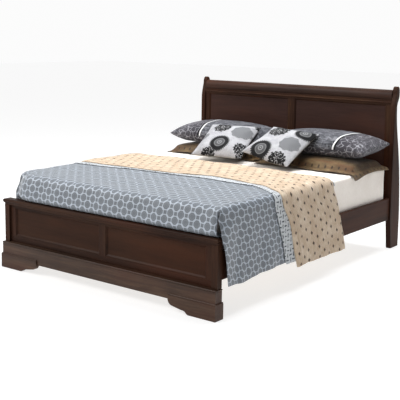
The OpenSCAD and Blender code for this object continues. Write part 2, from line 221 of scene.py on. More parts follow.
RED = "452518"
woods = {a: wood("espresso_" + a, a, ("1e130e", "311f17", "473122"), red=RED) for a in "xyz"}
panels = {
    # the headboard panels' stain is greyer than the footboard's, as the real panels are, and also lighter:
    # that lightening is painted light, making up for the light the headboard's front lacks
    "head": wood("espresso_panel_head_painted_light", "x", ("30201c", "3d2a25", "49332c"), gloss=0.44, figure=0.7,
                 red="452b22", shine=0.09),
    "foot": wood("espresso_panel_foot", "x", ("2b1910", "372217", "42291b"), gloss=0.44, figure=0.7,
                 red="422517"),
}
rolled = wood("espresso_roll", "x", ("1e130f", "2d1f1a", "3f2d25"), figure=1.2, coat=0.03, red="45271b",
              shine=0.12)
base_wood = {a: wood("espresso_base_" + a, a, ("241913", "3b2a20", "5a4636"), gloss=0.4, figure=1.1,
                     coat=0.05, red=RED, shine=0.2) for a in "xyz"}
pine = {a: wood("pine_" + a, a, ("a98457", "c9a877", "dcc294"), gloss=0.6) for a in "xyz"}


def metal():
    s = Shader("zinc_steel", Metallic=0.9)
    p = s.point()
    grime, spangle = s.noise(p, 60.0, 4.0), s.cells(p, 190.0, "F1")
    colour = s.ramp(grime * 0.7 + spangle * 0.4, (0.2, rgb("6f7072")), (0.8, rgb("b9babc")))
    return s.finish(colour, grime * 0.3 + 0.25, s.bump(spangle, 0.12, 0.0004))


def moulded():
    s = Shader("black_plastic")
    p = s.point()
    grain = s.noise(p, 900.0, 2.0)
    return s.finish(s.ramp(s.noise(p, 40.0), (0.3, rgb("17171a")), (0.8, rgb("2c2c30"))),
                    grain * 0.25 + 0.4, s.bump(grain, 0.3, 0.0003))


def strap():
    s = Shader("webbing_tape")
    p = s.point()
    x, y, z = s.xyz(p)
    rib = (y * 1400.0 + (x * 700.0).sin() * 1.2).sin()
    colour = s.ramp(rib * 0.5 + 0.5, (0.0, rgb("8f8a80")), (1.0, rgb("ddd8cc")))
    return s.finish(colour, 0.85, s.bump(rib, 0.5, 0.0005))


steel_mat, plastic_mat, webbing_mat = metal(), moulded(), strap()


def longest(node):
    """The axis along which a node is longest, which is its grain's."""
    lo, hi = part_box(node)
    size = hi - lo
    return "xyz"[max(range(3), key=lambda i: size[i])]


def finish_for(node):
    if node.startswith("leveller") or "pads" in node:
        return plastic_mat
    if "plates" in node or "brackets" in node:
        return steel_mat
    if node == "slat_straps":
        return webbing_mat
    if node in ("corner_blocks", "centre_beam", "support_legs", "slats") or node.startswith("rail_cleat"):
        return pine[{"slats": "x", "corner_blocks": "z", "support_legs": "z"}.get(node, longest(node))]
    if "panel" in node:
        return panels[node[:4]]
    if "roll" in node:
        return rolled
    if "plinth" in node or "bracket" in node:
        return base_wood[longest(node)]
    return woods[longest(node)]


SOFT = ("mattress", "comforter", "lining_band", "coverlet", "khaki_sham_l", "khaki_sham_r",
        "grey_sham_l", "grey_sham_r", "throw_l", "throw_r")
for node, obj in nodes.items():
    if node in SOFT:
        continue
    mat = finish_for(node)
    obj.data.materials.clear()
    obj.data.materials.append(mat)


# ---------------------------------------------------------------- cloth surfaces

def smooth(x, lo, hi):
    t = np.clip((np.asarray(x, float) - lo) / (hi - lo), 0, 1)
    return t * t * (3 - 2 * t)


def ripple(x, y, *waves):
    """A sum of fixed waves: each is (size, length along x, length along y, phase)."""
    return sum(a * np.sin(2 * math.pi * (x / lx + y / ly) + f) for a, lx, ly, f in waves)


def shell(name, P, thick, uv, mat, keep=None):
    """A closed cloth: the grid of mid points P gets its thickness along the surface's normal.

    uv holds each point's flat measures; keep says which squares of the grid are there.
    """
    ns, nt = P.shape[:2]
    keep = np.ones((ns - 1, nt - 1), bool) if keep is None else keep
    ds, dt = np.gradient(P, axis=0), np.gradient(P, axis=1)
    normal = np.cross(ds, dt)
    normal /= np.linalg.norm(normal, axis=2, keepdims=True) + 1e-12
    # the thickness closes over the last two rows, so that every edge is round
    pad = np.zeros((ns + 1, nt + 1), bool)
    pad[1:-1, 1:-1] = keep
    used = pad[:-1, :-1] | pad[1:, :-1] | pad[:-1, 1:] | pad[1:, 1:]
    inner = pad[:-1, :-1] & pad[1:, :-1] & pad[:-1, 1:] & pad[1:, 1:]
    edge = used & ~inner
    wide = edge.copy()
    wide[1:] |= edge[:-1]
    wide[:-1] |= edge[1:]
    wide[:, 1:] |= edge[:, :-1]
    wide[:, :-1] |= edge[:, 1:]
    f = np.where(edge, 0.35, np.where(wide, 0.85, 1.0))
    half = (np.broadcast_to(thick, (ns, nt)) * f * 0.5)[..., None]
    ids = np.full((ns, nt), -1)
    ids[used] = np.arange(used.sum())
    count = int(used.sum())
    verts = np.concatenate([(P + normal * half)[used], (P - normal * half)[used]])
    flat = np.broadcast_to(uv, (ns, nt, 2))[used]
    faces = []
    for i, j in zip(*np.nonzero(keep)):
        a, b, c, d = (int(ids[i + m, j + n]) for m, n in ((0, 0), (1, 0), (1, 1), (0, 1)))
        faces.append((a, b, c, d))
        faces.append((d + count, c + count, b + count, a + count))
        if not pad[i + 1, j]:
            faces.append((b, a, a + count, b + count))
        if not pad[i + 1, j + 2]:
            faces.append((d, c, c + count, d + count))
        if not pad[i, j + 1]:
            faces.append((a, d, d + count, a + count))
        if not pad[i + 2, j + 1]:
            faces.append((c, b, b + count, c + count))
    o = make(name, verts, faces, mat, np.concatenate([flat, flat]))
    subdivide(o)
    return o


def subdivide(o):
    m = o.modifiers.new("fine", "SUBSURF")
    m.levels = m.render_levels = 1


def make(name, verts, faces, mat, flat=None):
    """A smooth mesh object; flat holds the flat measures of each point of a cloth."""
    me = bpy.data.meshes.new(name)
    me.from_pydata([tuple(v) for v in verts], [], faces)
    me.update()
    if flat is not None:
        layer = me.uv_layers.new(name="cloth")
        order = np.empty(len(me.loops), int)
        me.loops.foreach_get("vertex_index", order)
        layer.data.foreach_set("uv", np.asarray(flat, np.float32)[order].ravel())
    me.polygons.foreach_set("use_smooth", [True] * len(me.polygons))
    me.materials.append(mat)
    o = bpy.data.objects.new(name, me)
    bpy.context.scene.collection.objects.link(o)
    return o


# The bedding lies on one common surface: flat on top, a round shoulder, and a hanging side.
# A cloth coordinate s runs across the bed along that surface, and is 0 in its middle.
_, comf_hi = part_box("comforter")
_, cov_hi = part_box("coverlet")
matt_lo, matt_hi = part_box("mattress")
XS, ZT, SHOULDER = comf_hi.x, comf_hi.z, 0.052  # half width, height, and radius of the shoulder
FLAT = XS - SHOULDER  # s at which the flat top ends
ARC = SHOULDER * math.pi / 2
SIDE = FLAT + ARC  # s at which the hanging side begins


def drop_to(z):
    """The cloth coordinate across the bed at which the hanging side reaches height z."""
    return SIDE + (ZT - SHOULDER - z)


def relief(s, y):
    """How far the common surface stands out at cloth coordinate s and length y from the foot."""
    a = np.abs(s)
    side = smooth(a, FLAT, SIDE)
    deep = np.clip((a - SIDE) / 0.45, 0, 1)
    top = ripple(s, y, (0.0016, 1.7, 0.34, 0.4), (0.0012, -2.3, 0.19, 1.9), (0.0010, 0.9, 0.61, 3.0),
                 (0.0009, -0.55, 1.3, 0.2))
    # one low ridge across the comforter, where it was folded
    ridge = np.exp(-((y - 0.50 - 0.05 * s) / 0.018) ** 2)
    top = top + 0.004 * ridge * smooth(s, -0.5, 0.2) * (1 - smooth(s, 0.5, 0.85))
    top = top - 0.0035
    fold = ripple(y, deep, (0.0042, 0.30, 4.0, 0.3), (0.0026, 0.171, -2.5, 1.1), (0.0015, 0.093, 6.0, 2.2))
    hang = 0.004 + deep * (0.007 + fold) + 0.0016 * np.sin(a * 26 + y * 9) * deep
    rear = -0.020 * smooth(y, 1.36, 1.50) * (1 - side)
    front = 0.019 * (1 - smooth(y, 0.10, 0.24)) * smooth(a, SIDE + 0.02, SIDE + 0.10)
    return top * (1 - side) + hang * side + rear + front


def on_bed(s, y, h):
    """A point on the common surface, raised h from it."""
    s, y = np.broadcast_arrays(np.asarray(s, float), np.asarray(y, float))
    a, sign = np.abs(s), np.where(s < 0, -1.0, 1.0)
    th = np.clip((a - FLAT) / SHOULDER, 0, math.pi / 2)
    nx, nz = np.sin(th), np.cos(th)
    x = np.minimum(a, FLAT) + SHOULDER * nx
    z = ZT - SHOULDER + SHOULDER * nz - np.maximum(a - SIDE, 0)
    r = relief(s, y) + h
    return np.stack([sign * (x + nx * r), y + FOOT, z + nz * r], -1)


def curve(points, q):
    """A smooth line through a few points, at shares q of its length; also its length."""
    p = np.asarray(points, float)
    pad = np.vstack([2 * p[0] - p[1], p, 2 * p[-1] - p[-2]])
    t = np.linspace(0, len(p) - 1 - 1e-9, 400)
    i = t.astype(int)
    f = (t - i)[:, None]
    a, b, c, d = pad[i], pad[i + 1], pad[i + 2], pad[i + 3]
    line = 0.5 * (2 * b + (c - a) * f + (2 * a - 5 * b + 4 * c - d) * f * f
                  + (3 * b - a - 3 * c + d) * f ** 3)
    run = np.concatenate([[0], np.cumsum(np.linalg.norm(np.diff(line, axis=0), axis=1))])
    want = np.asarray(q) * run[-1]
    return np.stack([np.interp(want, run, line[:, k]) for k in range(p.shape[1])], -1), run[-1]


# ---- comforter: one cloth with its foot corners split, thick and soft
# Its section over the footboard, as (length from the foot, height) from the bed's top to behind the board.
FRONT = [(0.200, 0.6805), (0.150, 0.6798), (0.104, 0.6765), (0.072, 0.665), (0.054, 0.640), (0.043, 0.60),
         (0.035, 0.56), (0.032, 0.534), (0.042, 0.514), (0.072, 0.5075), (0.130, 0.512)]
_, front_run = curve(FRONT, [0, 1])
T0 = FRONT[0][0]
SPLIT_T, SPLIT_S = 0.075, FLAT + ARC * 0.62  # the corner is cut out beyond both
COMF_END = 1.405  # hidden under the coverlet
COMF_SIDE_END = 0.90
SLANT_END = 0.32  # the slant of the side's front edge fades out here
COMF_SINK = 0.0055  # half its thickness: its middle lies this far under the common surface


def comforter():
    """Its grid runs in s across the bed and in t along it; t below T0 goes down the front section."""
    hem = drop_to(0.19)
    s_half = np.concatenate([np.linspace(0, FLAT, 78), FLAT + ARC * np.linspace(0, 1, 9)[1:],
                             np.linspace(SIDE, hem, 38)[1:]])
    s = np.concatenate([-s_half[:0:-1], s_half])
    t = np.concatenate([np.linspace(T0 - front_run, SPLIT_T, 26), np.linspace(SPLIT_T, T0, 12)[1:],
                        np.linspace(T0, COMF_END, 102)[1:]])
    S, T = np.meshgrid(s, t, indexing="ij")
    A = np.abs(S)
    right = S > 0
    # the hem's height changes along the bed
    depth = np.interp(T, [0.0, 0.11, 0.29, 0.47, 0.77, 0.9], [0.196, 0.193, 0.182, 0.197, 0.205, 0.206])
    grow = (drop_to(0) - depth - SIDE) / (hem - SIDE)
    SS = np.where(A > SIDE, np.sign(S) * (SIDE + (A - SIDE) * grow), S)
    z_side = on_bed(SS, np.maximum(T, 0.0), -COMF_SINK)[..., 2]
    # the hanging side's front edge slants back as it goes down
    edge_r = np.interp(z_side, [0.19, 0.32, 0.447, 0.51, 0.60, 0.66],
                       [0.112, 0.088, 0.061, 0.041, 0.034, 0.032])
    edge = np.where(right, edge_r, 0.128)
    slant = (T - SPLIT_T) / (SLANT_END - SPLIT_T)
    y_side = np.where(T < SLANT_END, edge + slant * (SLANT_END - edge), T)
    # the foot rolls over the board and tucks in behind its cap
    share = np.clip((T0 - T) / front_run, 0, 1)
    path, _ = curve(FRONT, share.ravel())
    path = path.reshape(*share.shape, 2)
    y_front = np.where(T < T0, path[..., 0], T)
    f_drop = np.where(T < T0, FRONT[0][1] - path[..., 1], 0.0)
    puff = ripple(S, T, (0.0030, 0.46, 9.0, 0.5), (0.0022, 0.23, 3.0, 1.4), (0.0013, 0.127, -1.1, 2.6))
    y_front = y_front - puff * smooth(f_drop, 0.01, 0.06) * (1 - smooth(f_drop, 0.13, 0.17))
    k = smooth(A, FLAT - 0.01, SIDE) * smooth(T, SPLIT_T - 0.05, SPLIT_T + 0.035)
    y = np.where(A > SIDE, y_side, y_front * (1 - k) + y_side * k)
    P = on_bed(SS, y, -COMF_SINK)
    z0 = ZT - COMF_SINK
    d_side = np.maximum(z0 - P[..., 2], 0)
    d_front = f_drop * (1 - k) * (A <= SIDE)
    P[..., 2] = np.where(d_front > 1e-6, z0 - np.sqrt(d_side ** 2 + d_front ** 2), P[..., 2])
    # rounded corners in plan, wide on the left and tight on the right
    for sign, radius, shy in ((-1, 0.20, 0.038), (1, 0.045, 0.0)):
        cx, cy = sign * (XS - radius - shy), FOOT + 0.031 + radius
        dx, dy = (P[..., 0] - cx) * sign, cy - P[..., 1]
        inside = (dx > 0) & (dy > 0)
        shrink = (shy * smooth(dx, 0, radius) * smooth(dy, 0, radius * 0.8)
                  * (1 - smooth(z0 - P[..., 2], 0.02, 0.16)))
        k2 = np.where(inside, np.maximum(dx - shrink, dy) / np.maximum(np.hypot(dx, dy), 1e-9), 1.0)
        P[..., 0] = np.where(inside, cx + sign * dx * k2, P[..., 0])
        P[..., 1] = np.where(inside, cy - dy * k2, P[..., 1])
    mid_s, mid_t = (A[1:, 1:] + A[:-1, :-1]) / 2, (T[1:, 1:] + T[:-1, :-1]) / 2
    keep = ~((mid_s > SPLIT_S) & (mid_t < SPLIT_T)) & ~((mid_s > SIDE) & (mid_t > COMF_SIDE_END))
    thick = np.where(A > SIDE, 0.009, 0.011)
    # the pattern slants on the hanging sides
    lean = np.where(right, 0.30, 0.10) * np.maximum(A - FLAT - ARC * 0.5, 0)
    return shell("quilted_comforter", P, thick, np.stack([S, T - lean], -1), lattice_cloth(), keep)


# ---- lining and coverlet: their edges, as (cloth coordinate, length from the foot) points
LINING_HEM, COVER_HEM = 0.197, 0.157
LINING_FRONT = [
    (-drop_to(0.20), 0.74), (-SIDE, 0.69), (-0.78, 0.710), (0.21, 0.805), (0.72, 0.775), (0.82, 0.715),
    (FLAT, 0.645), (FLAT + ARC * 0.5, 0.618), (SIDE + 0.03, 0.612), (drop_to(0.48), 0.672),
    (drop_to(0.20), 0.768)]
COVER_FRONT = [
    (-drop_to(COVER_HEM), 0.83), (-SIDE, 0.79), (-0.87, 0.785), (-0.24, 0.797), (0.05, 0.86),
    (0.25, 0.905), (0.45, 0.885), (0.76, 0.815), (0.86, 0.745), (FLAT + ARC * 0.5, 0.700),
    (SIDE + 0.03, 0.706), (drop_to(0.476), 0.806), (drop_to(COVER_HEM), 0.890)]
COVER_REAR = [
    (-drop_to(COVER_HEM), 1.50), (-SIDE, 1.45), (-0.82, 1.488), (-0.42, 1.535), (0.34, 1.535),
    (0.56, 1.505), (0.76, 1.465), (0.86, 1.405), (FLAT + ARC * 0.6, 1.355), (SIDE + 0.04, 1.365),
    (drop_to(0.53), 1.420), (drop_to(COVER_HEM), 1.553)]


def eased(points, s):
    """A line through the points with its corners rounded off."""
    xs = np.array([p[0] for p in points])
    ys = np.array([p[1] for p in points])
    wide = np.linspace(-0.05, 0.05, 9)
    return np.mean([np.interp(s + w, xs, ys) for w in wide], axis=0)


def lining():
    """The band of lining turned back over the comforter, up to just under the coverlet."""
    hem = drop_to(LINING_HEM)
    s = np.linspace(-hem, hem, 260)
    v = np.linspace(0, 1, 14)
    S, V = np.meshgrid(s, v, indexing="ij")
    front = eased(LINING_FRONT, S)
    back = eased(COVER_FRONT, S) + 0.030
    Y = front + (back - front) * V
    h = 0.0042 + 0.0022 * np.exp(-((V - 0.09) / 0.07) ** 2)
    return shell("lining_turnback", on_bed(S, Y, h), 0.0034, np.stack([S, Y], -1), dash_cloth())


def coverlet():
    """One cloth folded double, with its fold towards the foot."""
    hem = drop_to(COVER_HEM)
    s = np.linspace(-hem, hem, 300)
    # under layer from the rear to the fold, the fold itself, then the upper layer back to the rear
    under = np.linspace(1, 0, 40)
    turn = np.linspace(0, math.pi, 9)[1:-1]
    upper = np.linspace(0, 1, 56)
    v = np.concatenate([under, np.zeros(len(turn)), upper])
    lift = np.concatenate([np.zeros(len(under)), (1 - np.cos(turn)) / 2, np.ones(len(upper))])
    out = np.concatenate([np.zeros(len(under)), np.sin(turn), np.zeros(len(upper))])
    S, V = np.meshgrid(s, v, indexing="ij")
    front, rear = eased(COVER_FRONT, S), eased(COVER_REAR, S)
    lower = np.arange(len(v)) < len(under)
    rear = rear - 0.016 * lower
    Y = front + (rear - front) * V - 0.0042 * out
    gap = 0.0046 + 0.0015 * np.sin(S * 19) * (1 - V)
    h = 0.0075 + gap * lift
    # crumples of the upper layer, and the swelling beside the fold
    h = h + 0.0011 * lift * ripple(S, Y, (1.0, 0.33, 0.47, 0.0), (0.7, 0.21, -0.35, 1.0),
                                   (0.6, -0.115, 0.6, 2.0))
    h = h + 0.0007 * lift * ripple(S, Y, (1.0, 0.61, 0.084, 0.3), (0.9, -0.43, 0.061, 1.1))
    swell = np.exp(-((Y - front - 0.022) / 0.016) ** 2)
    h = h + 0.0030 * lift * swell * (0.6 + 0.4 * np.sin(S * 7 + 1))
    run = np.where(lower, front - Y, Y - front)
    return shell("beige_coverlet", on_bed(S, Y, h), 0.0038, np.stack([S, run], -1), dotted_cloth())


# ---------------------------------------------------------------- cloth materials

def lattice_cloth():
    """A damask lattice of rounds and small squares inside paler lines."""
    s = Shader("comforter_cloth", Sheen_Weight=0.55, Sheen_Roughness=0.28, Specular_IOR_Level=0.6)
    u, v, uv = s.flat()
    c = 0.0415  # spacing of the rounds
    a, b = (u + v) * (0.5 / c), (u - v) * (0.5 / c)
    p, q = a.near() + b.near(), a.near() - b.near()
    a2, b2 = (a + 0.5).near(), (b + 0.5).near()
    p2, q2 = a2 + b2, a2 - b2
    r = p.abs().max(q.abs()).max((p.abs() + q.abs()) * 0.74)
    m = p2.abs().max(q2.abs())
    inside = r.below(0.59, 0.08).max(m.below(0.28, 0.08))
    wear = s.noise(uv, 22.0, 4.0)
    ring = (r - 0.37).abs().below(0.035, 0.06) * 0.16
    ground = s.mix(wear, rgb("2f353b"), rgb("3f464c"))
    line = s.mix(wear, rgb("8b949f"), rgb("b1bac5"))
    colour = s.mix(inside * 0.93 - ring, line, ground)
    fine = s.noise(s.stretch(uv, 900.0, 120.0, 1.0), 1.0, 2.0)
    colour = s.mix(fine * 0.22, colour, rgb("d5dbe4"))
    thread = (u * 3200.0).sin() * (v * 3200.0).sin()
    pucker = s.noise(uv, 30.0, 2.0) * 0.8 - inside * 0.5
    rough = wear * 0.15 + (inside * 0.16 + 0.36)
    return s.finish(colour, rough, s.bump(pucker + thread * 0.12, 0.55, 0.0016))


def dash_cloth():
    """Pale lining with short dark dashes that turn from cell to cell."""
    s = Shader("lining_cloth", Sheen_Weight=0.1, Sheen_Roughness=0.5)
    u, v, uv = s.flat()
    c = 0.034  # spacing of the dashes
    a, b = u * (1 / c), v * (1 / c)
    turn = ((a.op("ROUND") + b.op("ROUND")) * 0.5).near().abs().above(0.25, 0.01)
    wob = s.noise(uv, 60.0, 1.0) - 0.5
    p, q = a.near() + wob * 0.5, b.near() + wob * 0.4
    one = (p.abs() * 0.27).max(q.abs() * 1.0).below(0.12, 0.04)
    two = (q.abs() * 0.27).max(p.abs() * 1.0).below(0.12, 0.04)
    dash = one * turn + two * (turn * -1.0 + 1.0)
    ground = s.mix(s.noise(uv, 80.0, 4.0), rgb("aeb3b8"), rgb("c9cccd"))
    colour = s.mix(dash, ground, rgb("2c3340"))
    thread = (u * 3000.0).sin() * (v * 3000.0).sin()
    return s.finish(colour, 0.75, s.bump(thread * 0.2 + s.noise(uv, 120.0, 3.0), 0.5, 0.001))


def dotted_cloth():
    """Tan cloth with small dark lozenges in staggered rows, and a stitched border."""
    s = Shader("coverlet_cloth", Sheen_Weight=0.16, Sheen_Roughness=0.45, Specular_IOR_Level=0.2)
    u, v, uv = s.flat()
    du, dv = 0.074, 0.133  # spacing of the lozenges
    a, b = u / du, (v + 0.033) / dv

    def lozenge(p, q, half_u, half_v, soft):
        return ((p * du).abs() * (1 / half_u) + (q * dv).abs() * (1 / half_v)).below(1.0, soft)

    dots = lozenge(a.near(), b.near(), 0.0150, 0.0125, 0.3).max(
        lozenge((a + 0.5).near(), (b + 0.5).near(), 0.0150, 0.0125, 0.3))
    halo = lozenge(a.near(), b.near(), 0.016, 0.012, 0.4)
    slub = s.noise(s.stretch(uv, 30.0, 260.0, 1.0), 1.0, 4.0, 0.6)
    ground = s.ramp(slub * 0.6 + s.noise(uv, 9.0, 3.0) * 0.4,
                    (0.3, rgb("aa8f74")), (0.52, rgb("c6b199")), (0.72, rgb("e6dac8")))
    seam = (v - 0.055).abs().below(0.0016, 0.0012)
    stitch = (v - 0.049).abs().below(0.0010, 0.0008) * (u * 900.0).sin().above(0.0, 0.6)
    colour = s.mix(halo * 0.12, ground, rgb("8a6b48"))
    colour = s.mix(dots * 0.94, colour, rgb("3c2416"))
    colour = s.mix(seam * 0.55, colour, rgb("7d6141"))
    colour = s.mix(stitch * 0.5, colour, rgb("e8d6b4"))
    fold = s.noise(s.stretch(uv, 7.0, 24.0, 1.0), 1.0, 3.0)
    thread = (u * 3200.0).sin() * (v * 3200.0).sin()
    height = slub + thread * 0.15 + dots * 0.5 - seam * 2.0 + fold * 6.0
    return s.finish(colour, slub * 0.2 + 0.55, s.bump(height, 0.8, 0.0024))


def sheet_cloth(name, low, high):
    s = Shader(name, Sheen_Weight=0.25, Sheen_Roughness=0.5)
    p = s.point()
    colour = s.ramp(s.noise(p, 5.0, 4.0) * 0.6 + s.noise(p, 60.0, 3.0) * 0.4, (0.3, low), (0.7, high))
    return s.finish(colour, s.noise(p, 30.0) * 0.2 + 0.65, weave(s, p, 0.0016, 0.4))


def ticking_cloth():
    """Woven mattress cover with narrow stripes."""
    s = Shader("mattress_ticking")
    p = s.point()
    x, y, z = s.xyz(p)
    k = x * (1 / 0.030)
    stripe = k.near().abs().below(0.06, 0.04).max((k + 0.3).near().abs().below(0.03, 0.03))
    colour = s.mix(stripe, s.mix(s.noise(p, 40.0), rgb("e4dfd2"), rgb("f3efe6")), rgb("8e97a6"))
    return s.finish(colour, 0.8, weave(s, p, 0.002, 0.5))


def khaki_cloth(w, d):
    """Khaki cloth with a row of dark dots round the flange."""
    s = Shader("khaki_cloth", Sheen_Weight=0.2, Sheen_Roughness=0.35)
    p = s.point()
    x, y, z = s.xyz(p)
    pitch, rim = 0.058, 0.024  # spacing of the dots, and their distance from the edge
    ax, ay = x.abs() - (w / 2 - rim), y.abs() - (d / 2 - rim)
    gx, gy = (x * (1 / pitch)).near() * pitch, (y * (1 / pitch)).near() * pitch

    def dot(m, n):
        return (m * m + n * n).sqrt().below(0.0080, 0.0025)

    inner = y.abs() - (d / 2 - 0.060)
    dots = dot(ax, gy).max(dot(ay, gx)).max(dot(inner, gx))
    slub = s.noise(s.stretch(p, 40.0, 300.0, 300.0), 1.0, 3.0)
    ground = s.ramp(slub * 0.35 + s.noise(p, 11.0) * 0.65,
                    (0.32, rgb("41321f")), (0.52, rgb("5c4930")), (0.74, rgb("8e7651")))
    seam = (x.abs() - (w / 2 - 0.052)).max(y.abs() - (d / 2 - 0.052)).abs().below(0.0012, 0.001)
    streak = s.noise(s.stretch(p, 9.0, 30.0, 30.0), 1.0, 3.0).above(0.56, 0.1)
    ground = s.mix(streak * 0.5, ground, rgb("5c3a22"))
    colour = s.mix(dots * 0.92, s.mix(seam * 0.5, ground, rgb("4a3822")), rgb("22150d"))
    return s.finish(colour, slub * 0.2 + 0.5, weave(s, p, 0.0018, 0.5, seam * -2.0))


def grey_cloth(name, at, side, lean):
    """Grey sham: a dark middle, a white and a black stripe, and a paler end with broken lines.

    The stripes begin at distance `at` from the middle, towards `side`, and lean with y.
    """
    s = Shader(name, Sheen_Weight=0.08, Sheen_Roughness=0.35, Specular_IOR_Level=0.2)
    p = s.point()
    x, y, z = s.xyz(p)
    out = x * side - at - y * lean
    rows = s.noise(s.stretch(p, 14.0, 90.0, 90.0), 1.0, 4.0, 0.65)
    middle = s.ramp(rows * 0.8 + s.noise(p, 30.0) * 0.2,
                    (0.38, rgb("27282c")), (0.5, rgb("434449")), (0.66, rgb("74757b")))
    bent = s.stretch(p, 1.0, 1.25, 1.0)
    lines = s.cells(bent, 25.0, random=0.7).below(0.042, 0.03) * s.noise(p, 30.0, 2.0).above(0.44, 0.08)
    end = s.mix(s.noise(p, 24.0, 4.0), rgb("2c2a2f"), rgb("434147"))
    end = s.mix(lines * 0.8, end, rgb("9c9ba0"))
    middle = s.mix(lines * 0.35, middle, rgb("a3a3a8"))
    tip = out.above(0.15, 0.12) * s.noise(p, 70.0).above(0.5, 0.2)
    end = s.mix(tip * 0.2, end, rgb("9f9ea4"))
    colour = s.mix(z.below(0.0, 0.003).max(out.above(0.016, 0.002)), middle, end)
    face = z.above(0.0, 0.003)
    colour = s.mix((out - 0.008).abs().below(0.0065, 0.0014) * face, colour, rgb("dcdcdc"))
    colour = s.mix((out - 0.0230).abs().below(0.0080, 0.0014) * face, colour, rgb("020203"))
    return s.finish(colour, rows * 0.2 + 0.45, weave(s, p, 0.0018, 0.5, lines * 0.6 + rows * 0.5))


def floral_cloth(name, blooms):
    """Off-white cloth printed with round flowers; each bloom is (kind, x, y, radius)."""
    s = Shader(name, Specular_IOR_Level=0.06)
    p = s.point()
    x, y, z = s.xyz(p)
    speck = s.noise(p, 260.0, 2.0, 0.7)
    colour = s.ramp(speck * 0.7 + s.noise(p, 14.0) * 0.3,
                    (0.35, rgb("7c7c80")), (0.50, rgb("a4a4a7")), (0.66, rgb("bcbcbf")))
    inked = None
    petals = s.cells(s.stretch(p, 1.0, 1.0, 0.0), 92.0, "F1", random=0.5)
    for kind, cx, cy, rad in blooms:
        dx, dy = x - cx, y - cy
        r = (dx * dx + dy * dy).sqrt() * (1 / rad)
        th = dy.op("ARCTAN2", dx)
        if kind == "dahlia":
            mask = (r + (th * 15.0).sin() * 0.06 + (th * 7.0 + 1.0).sin() * 0.03).below(0.92, 0.03)
            veins = petals.below(0.30, 0.05) * r.above(0.12, 0.1)
            ink = s.mix(veins * 0.85, rgb("040405"), rgb("c4c4c6"))
            ink = s.mix((r - 0.14).abs().below(0.04, 0.03) * 0.6, ink, rgb("a0a0a1"))
        elif kind == "daisy":
            mask = (r + (th * 34.0).sin() * 0.035).below(0.95, 0.03)
            rays = (th * 34.0).sin() * 0.5 + 0.5
            dark = s.mix(rays * r.below(0.52, 0.06), rgb("0b0b0d"), rgb("6c6d6f"))
            dark = s.mix(rays * r.above(0.86, 0.03) * 0.7, dark, rgb("9b9b9c"))
            ink = s.mix((r - 0.48).abs().below(0.020, 0.03) * 0.35, dark, rgb("b4b4b5"))
            ink = s.mix((r - 0.20).abs().below(0.025, 0.03) * 0.6, ink, rgb("b4b4b5"))
            ink = s.mix(r.below(0.07, 0.04) * 0.7, ink, rgb("9a9a9b"))
        else:
            mask = (r + (th * 9.0).sin() * 0.05).below(0.94, 0.06)
            rays = (th * 26.0 + r * 6.0).sin() * 0.5 + 0.5
            ink = s.mix(rays * speck, rgb("505154"), rgb("a4a5a7"))
        colour = s.mix(mask * 0.96, colour, ink)
        inked = mask if inked is None else inked.max(mask)
    colour = s.mix(z.below(-0.002, 0.002), colour, s.mix(speck, rgb("77756f"), rgb("98968f")))
    return s.finish(colour, 0.72, weave(s, p, 0.0022, 0.6, inked * 0.4 + speck * 0.5))


# ---------------------------------------------------------------- pillows

def pad_height(u, v, puff, p=2.4, q=0.62):
    """Height of a stuffed face at u, v from -1 to 1: puff in the middle, 0 at the rim."""
    return puff * (1 - np.abs(u) ** p) ** q * (1 - np.abs(v) ** p) ** q


def pillow(name, w, d, puff, mat, pull, n, grow, cap, flange=0.0, under=None, p=2.4, q=0.62):
    """A stuffed case: two faces sewn at the rim, blown up by a short cloth simulation.

    pull draws the sides in between the corners, n is the grid, grow the pressure, cap the furthest
    that a point may move, and under the lower face's own (puff, p, q).
    """
    nu, nv = n
    uu, vv = np.linspace(-1, 1, nu), np.linspace(-1, 1, nv)
    U, V = np.meshgrid(uu, vv, indexing="ij")
    fx, fy = flange / (w / 2), flange / (d / 2)
    bu, bv = np.clip(np.abs(U) / (1 - fx), 0, 1), np.clip(np.abs(V) / (1 - fy), 0, 1)
    x = w / 2 * U * (1 - pull * (1 - V ** 2) * np.abs(U) ** 2)
    y = d / 2 * V * (1 - pull * (w / d) * 0.8 * (1 - U ** 2) * np.abs(V) ** 2)
    h = pad_height(bu, bv, puff, p, q)
    rim = (np.abs(U) > 1 - 1e-9) | (np.abs(V) > 1 - 1e-9)
    h = np.where(rim, 0, np.maximum(h, 0.0012))
    top = np.stack([x, y, h], -1).reshape(-1, 3)
    low = h * 0.92 if under is None else np.where(rim, 0, np.maximum(pad_height(bu, bv, *under), 0.0012))
    bottom = np.stack([x, y, -low], -1).reshape(-1, 3)
    inner = np.nonzero(~rim.ravel())[0]
    back = np.arange(nu * nv)
    back[inner] = nu * nv + np.arange(len(inner))
    verts = np.concatenate([top, bottom[inner]])
    faces = []
    for i in range(nu - 1):
        for j in range(nv - 1):
            a, b, c, e = i * nv + j, (i + 1) * nv + j, (i + 1) * nv + j + 1, i * nv + j + 1
            faces.append((a, b, c, e))
            faces.append(tuple(int(back[k]) for k in (e, c, b, a)))
    o = make(name, verts, faces, mat)
    inflate(o, verts, grow, cap, flange, w, d)
    return o


